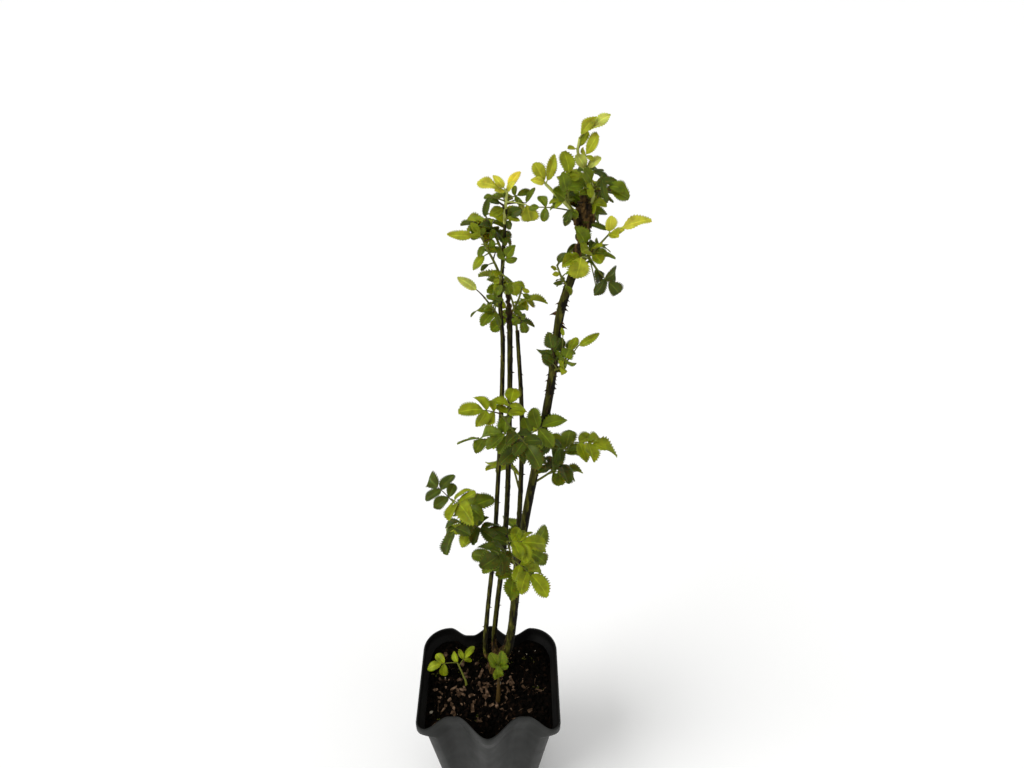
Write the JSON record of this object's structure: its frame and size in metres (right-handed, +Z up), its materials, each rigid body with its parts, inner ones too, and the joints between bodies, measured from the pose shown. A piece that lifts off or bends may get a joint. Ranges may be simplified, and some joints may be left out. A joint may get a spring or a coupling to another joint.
{
  "type": "potted climbing rose",
  "caption": "Young climbing rose bush with slender thorny canes and toothed compound leaves, rooted in a tapering square black nursery pot filled with compost.",
  "frame": {"origin": "middle of the pot's flat underside, at floor level", "axes": "+Z up along the canes, -Y towards the front of the pot, +X to the right seen from the front"},
  "size_m": [0.1733, 0.1451, 0.6879],
  "materials": {
    "pot_plastic": "matte",
    "compost": "matte",
    "bark": "satin",
    "leaf_green": "satin",
    "leaf_young": "satin"
  },
  "bodies": {
    "root": {"pot": "pot_plastic", "compost": "compost", "root_crown": "bark", "cane_right": "bark", "cane_left": "bark", "cane_short": "bark", "cane_back": "bark", "leaves_top": "leaf_green", "leaves_top_left": "leaf_green", "leaves_middle_right": "leaf_green", "leaves_middle_left": "leaf_green", "leaves_low_right": "leaf_green", "leaves_left_top": "leaf_young", "leaves_left_side": "leaf_green", "leaves_left_middle": "leaf_green", "leaves_short_cane": "leaf_green", "leaves_back_right": "leaf_green", "leaves_back_left": "leaf_green", "leaves_back_top": "leaf_green", "leaves_back_low": "leaf_green", "leaves_foot_back": "leaf_green", "leaves_low_left": "leaf_green", "leaves_low_front": "leaf_green", "leaves_high_front": "leaf_green", "leaves_low_side": "leaf_green", "sprouts_left": "leaf_young", "sprouts_middle": "leaf_young"}
  },
  "joints": []
}
